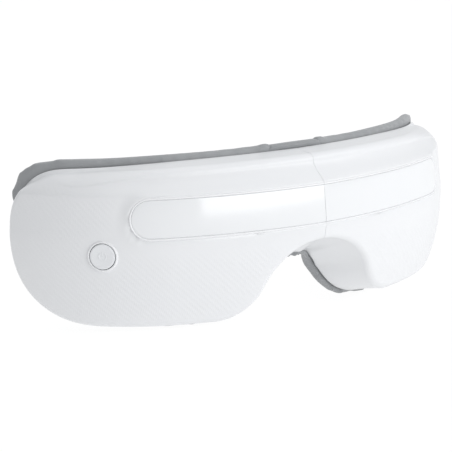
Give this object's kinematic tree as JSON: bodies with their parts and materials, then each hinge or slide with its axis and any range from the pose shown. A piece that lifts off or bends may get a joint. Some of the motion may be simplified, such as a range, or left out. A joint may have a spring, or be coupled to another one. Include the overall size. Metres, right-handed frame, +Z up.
{
  "type": "eye massager mask",
  "caption": "Folding wrap-around eye massager in two curved white pods with a glossy brow band, a round power button, grey face cushions and a centre hinge.",
  "frame": {"origin": "on the ground plane, under the middle of the bounding box, with the mask standing on the lower edges of its cushions", "axes": "+Z up, +Y towards the wearer's face, +X to the right of a person who looks at the front"},
  "size_m": [0.2062, 0.0739, 0.0703],
  "materials": {
    "shell": "satin white with a fine pressed twill",
    "band": "high gloss white",
    "housing": "matte grey",
    "cushion": "soft matte grey skin over foam",
    "airbag": "milky film",
    "heater": "printed film",
    "eye_cover": "soft knitted cover",
    "screws": "bright",
    "hinge": "brushed",
    "button": "satin",
    "dark_plastic": "moulded",
    "plunger": "moulded",
    "board": "solder mask",
    "port": "drawn shell",
    "motor": "drawn can",
    "weight": "turned",
    "tube": "clear silicone",
    "battery": "foil pouch"
  },
  "bodies": {
    "left_pod": {"left_front_shell": "shell", "left_band_frame": "shell", "left_band": "band", "left_rear_housing": "housing", "left_face_pad": "cushion", "left_nose_flap": "cushion", "left_airbag": "airbag", "left_heater_film": "heater", "left_eye_cover": "eye_cover", "left_housing_screws": "screws", "left_hinge_leaf": "hinge", "hinge_pin": "hinge", "left_hinge_screws": "screws", "button_ring": "band", "button_switch": "dark_plastic", "main_board": "board", "board_chips": "dark_plastic", "charging_port": "port", "left_vibration_motor": "motor", "air_valve": "motor", "left_air_tube": "tube", "left_strap_anchor": "housing"},
    "right_pod": {"right_front_shell": "shell", "right_band_frame": "shell", "right_band": "band", "right_rear_housing": "housing", "right_face_pad": "cushion", "right_nose_flap": "cushion", "right_airbag": "airbag", "right_heater_film": "heater", "right_eye_cover": "eye_cover", "right_housing_screws": "screws", "right_hinge_leaf": "hinge", "right_hinge_screws": "screws", "right_vibration_motor": "motor", "right_air_tube": "tube", "right_strap_anchor": "housing", "air_pump": "motor", "battery": "battery", "speaker": "dark_plastic"},
    "power_button": {"power_button": "button"},
    "switch_plunger": {"switch_plunger": "plunger"},
    "left_motor_weight": {"left_motor_weight": "weight"},
    "right_motor_weight": {"right_motor_weight": "weight"},
    "valve_plunger": {"valve_plunger": "plunger"},
    "pump_crank": {"pump_crank": "weight"}
  },
  "joints": [
    {"name": "fold_hinge", "type": "hinge", "parent": "left_pod", "child": "right_pod", "pos_m": [0, -0.01675, 0.0551], "axis": [0, 0, 1], "range_deg": [0, 75]},
    {"name": "button_press", "type": "slide", "parent": "left_pod", "child": "power_button", "axis": [0.6896, 0.7242, 0], "range_m": [0, 0.0005]},
    {"name": "plunger_travel", "type": "slide", "parent": "left_pod", "child": "switch_plunger", "axis": [0.6896, 0.7242, 0], "range_m": [0, 0.0005]},
    {"name": "left_motor_spin", "type": "hinge", "parent": "left_pod", "child": "left_motor_weight", "pos_m": [-0.05429, -0.00946, 0.0166], "axis": [-0.91, 0.4147, 0], "continuous": true},
    {"name": "right_motor_spin", "type": "hinge", "parent": "right_pod", "child": "right_motor_weight", "pos_m": [0.05429, -0.00946, 0.0166], "axis": [0.91, 0.4147, 0], "continuous": true},
    {"name": "pump_spin", "type": "hinge", "parent": "right_pod", "child": "pump_crank", "pos_m": [0.03351, -0.01896, 0.0276], "axis": [0, 0, 1], "continuous": true},
    {"name": "valve_stroke", "type": "slide", "parent": "left_pod", "child": "valve_plunger", "axis": [0, 0, 1], "range_m": [0, 0.001]}
  ],
  "couplings": [
    {"joint": "plunger_travel", "follows": "button_press", "ratio": 1}
  ]
}
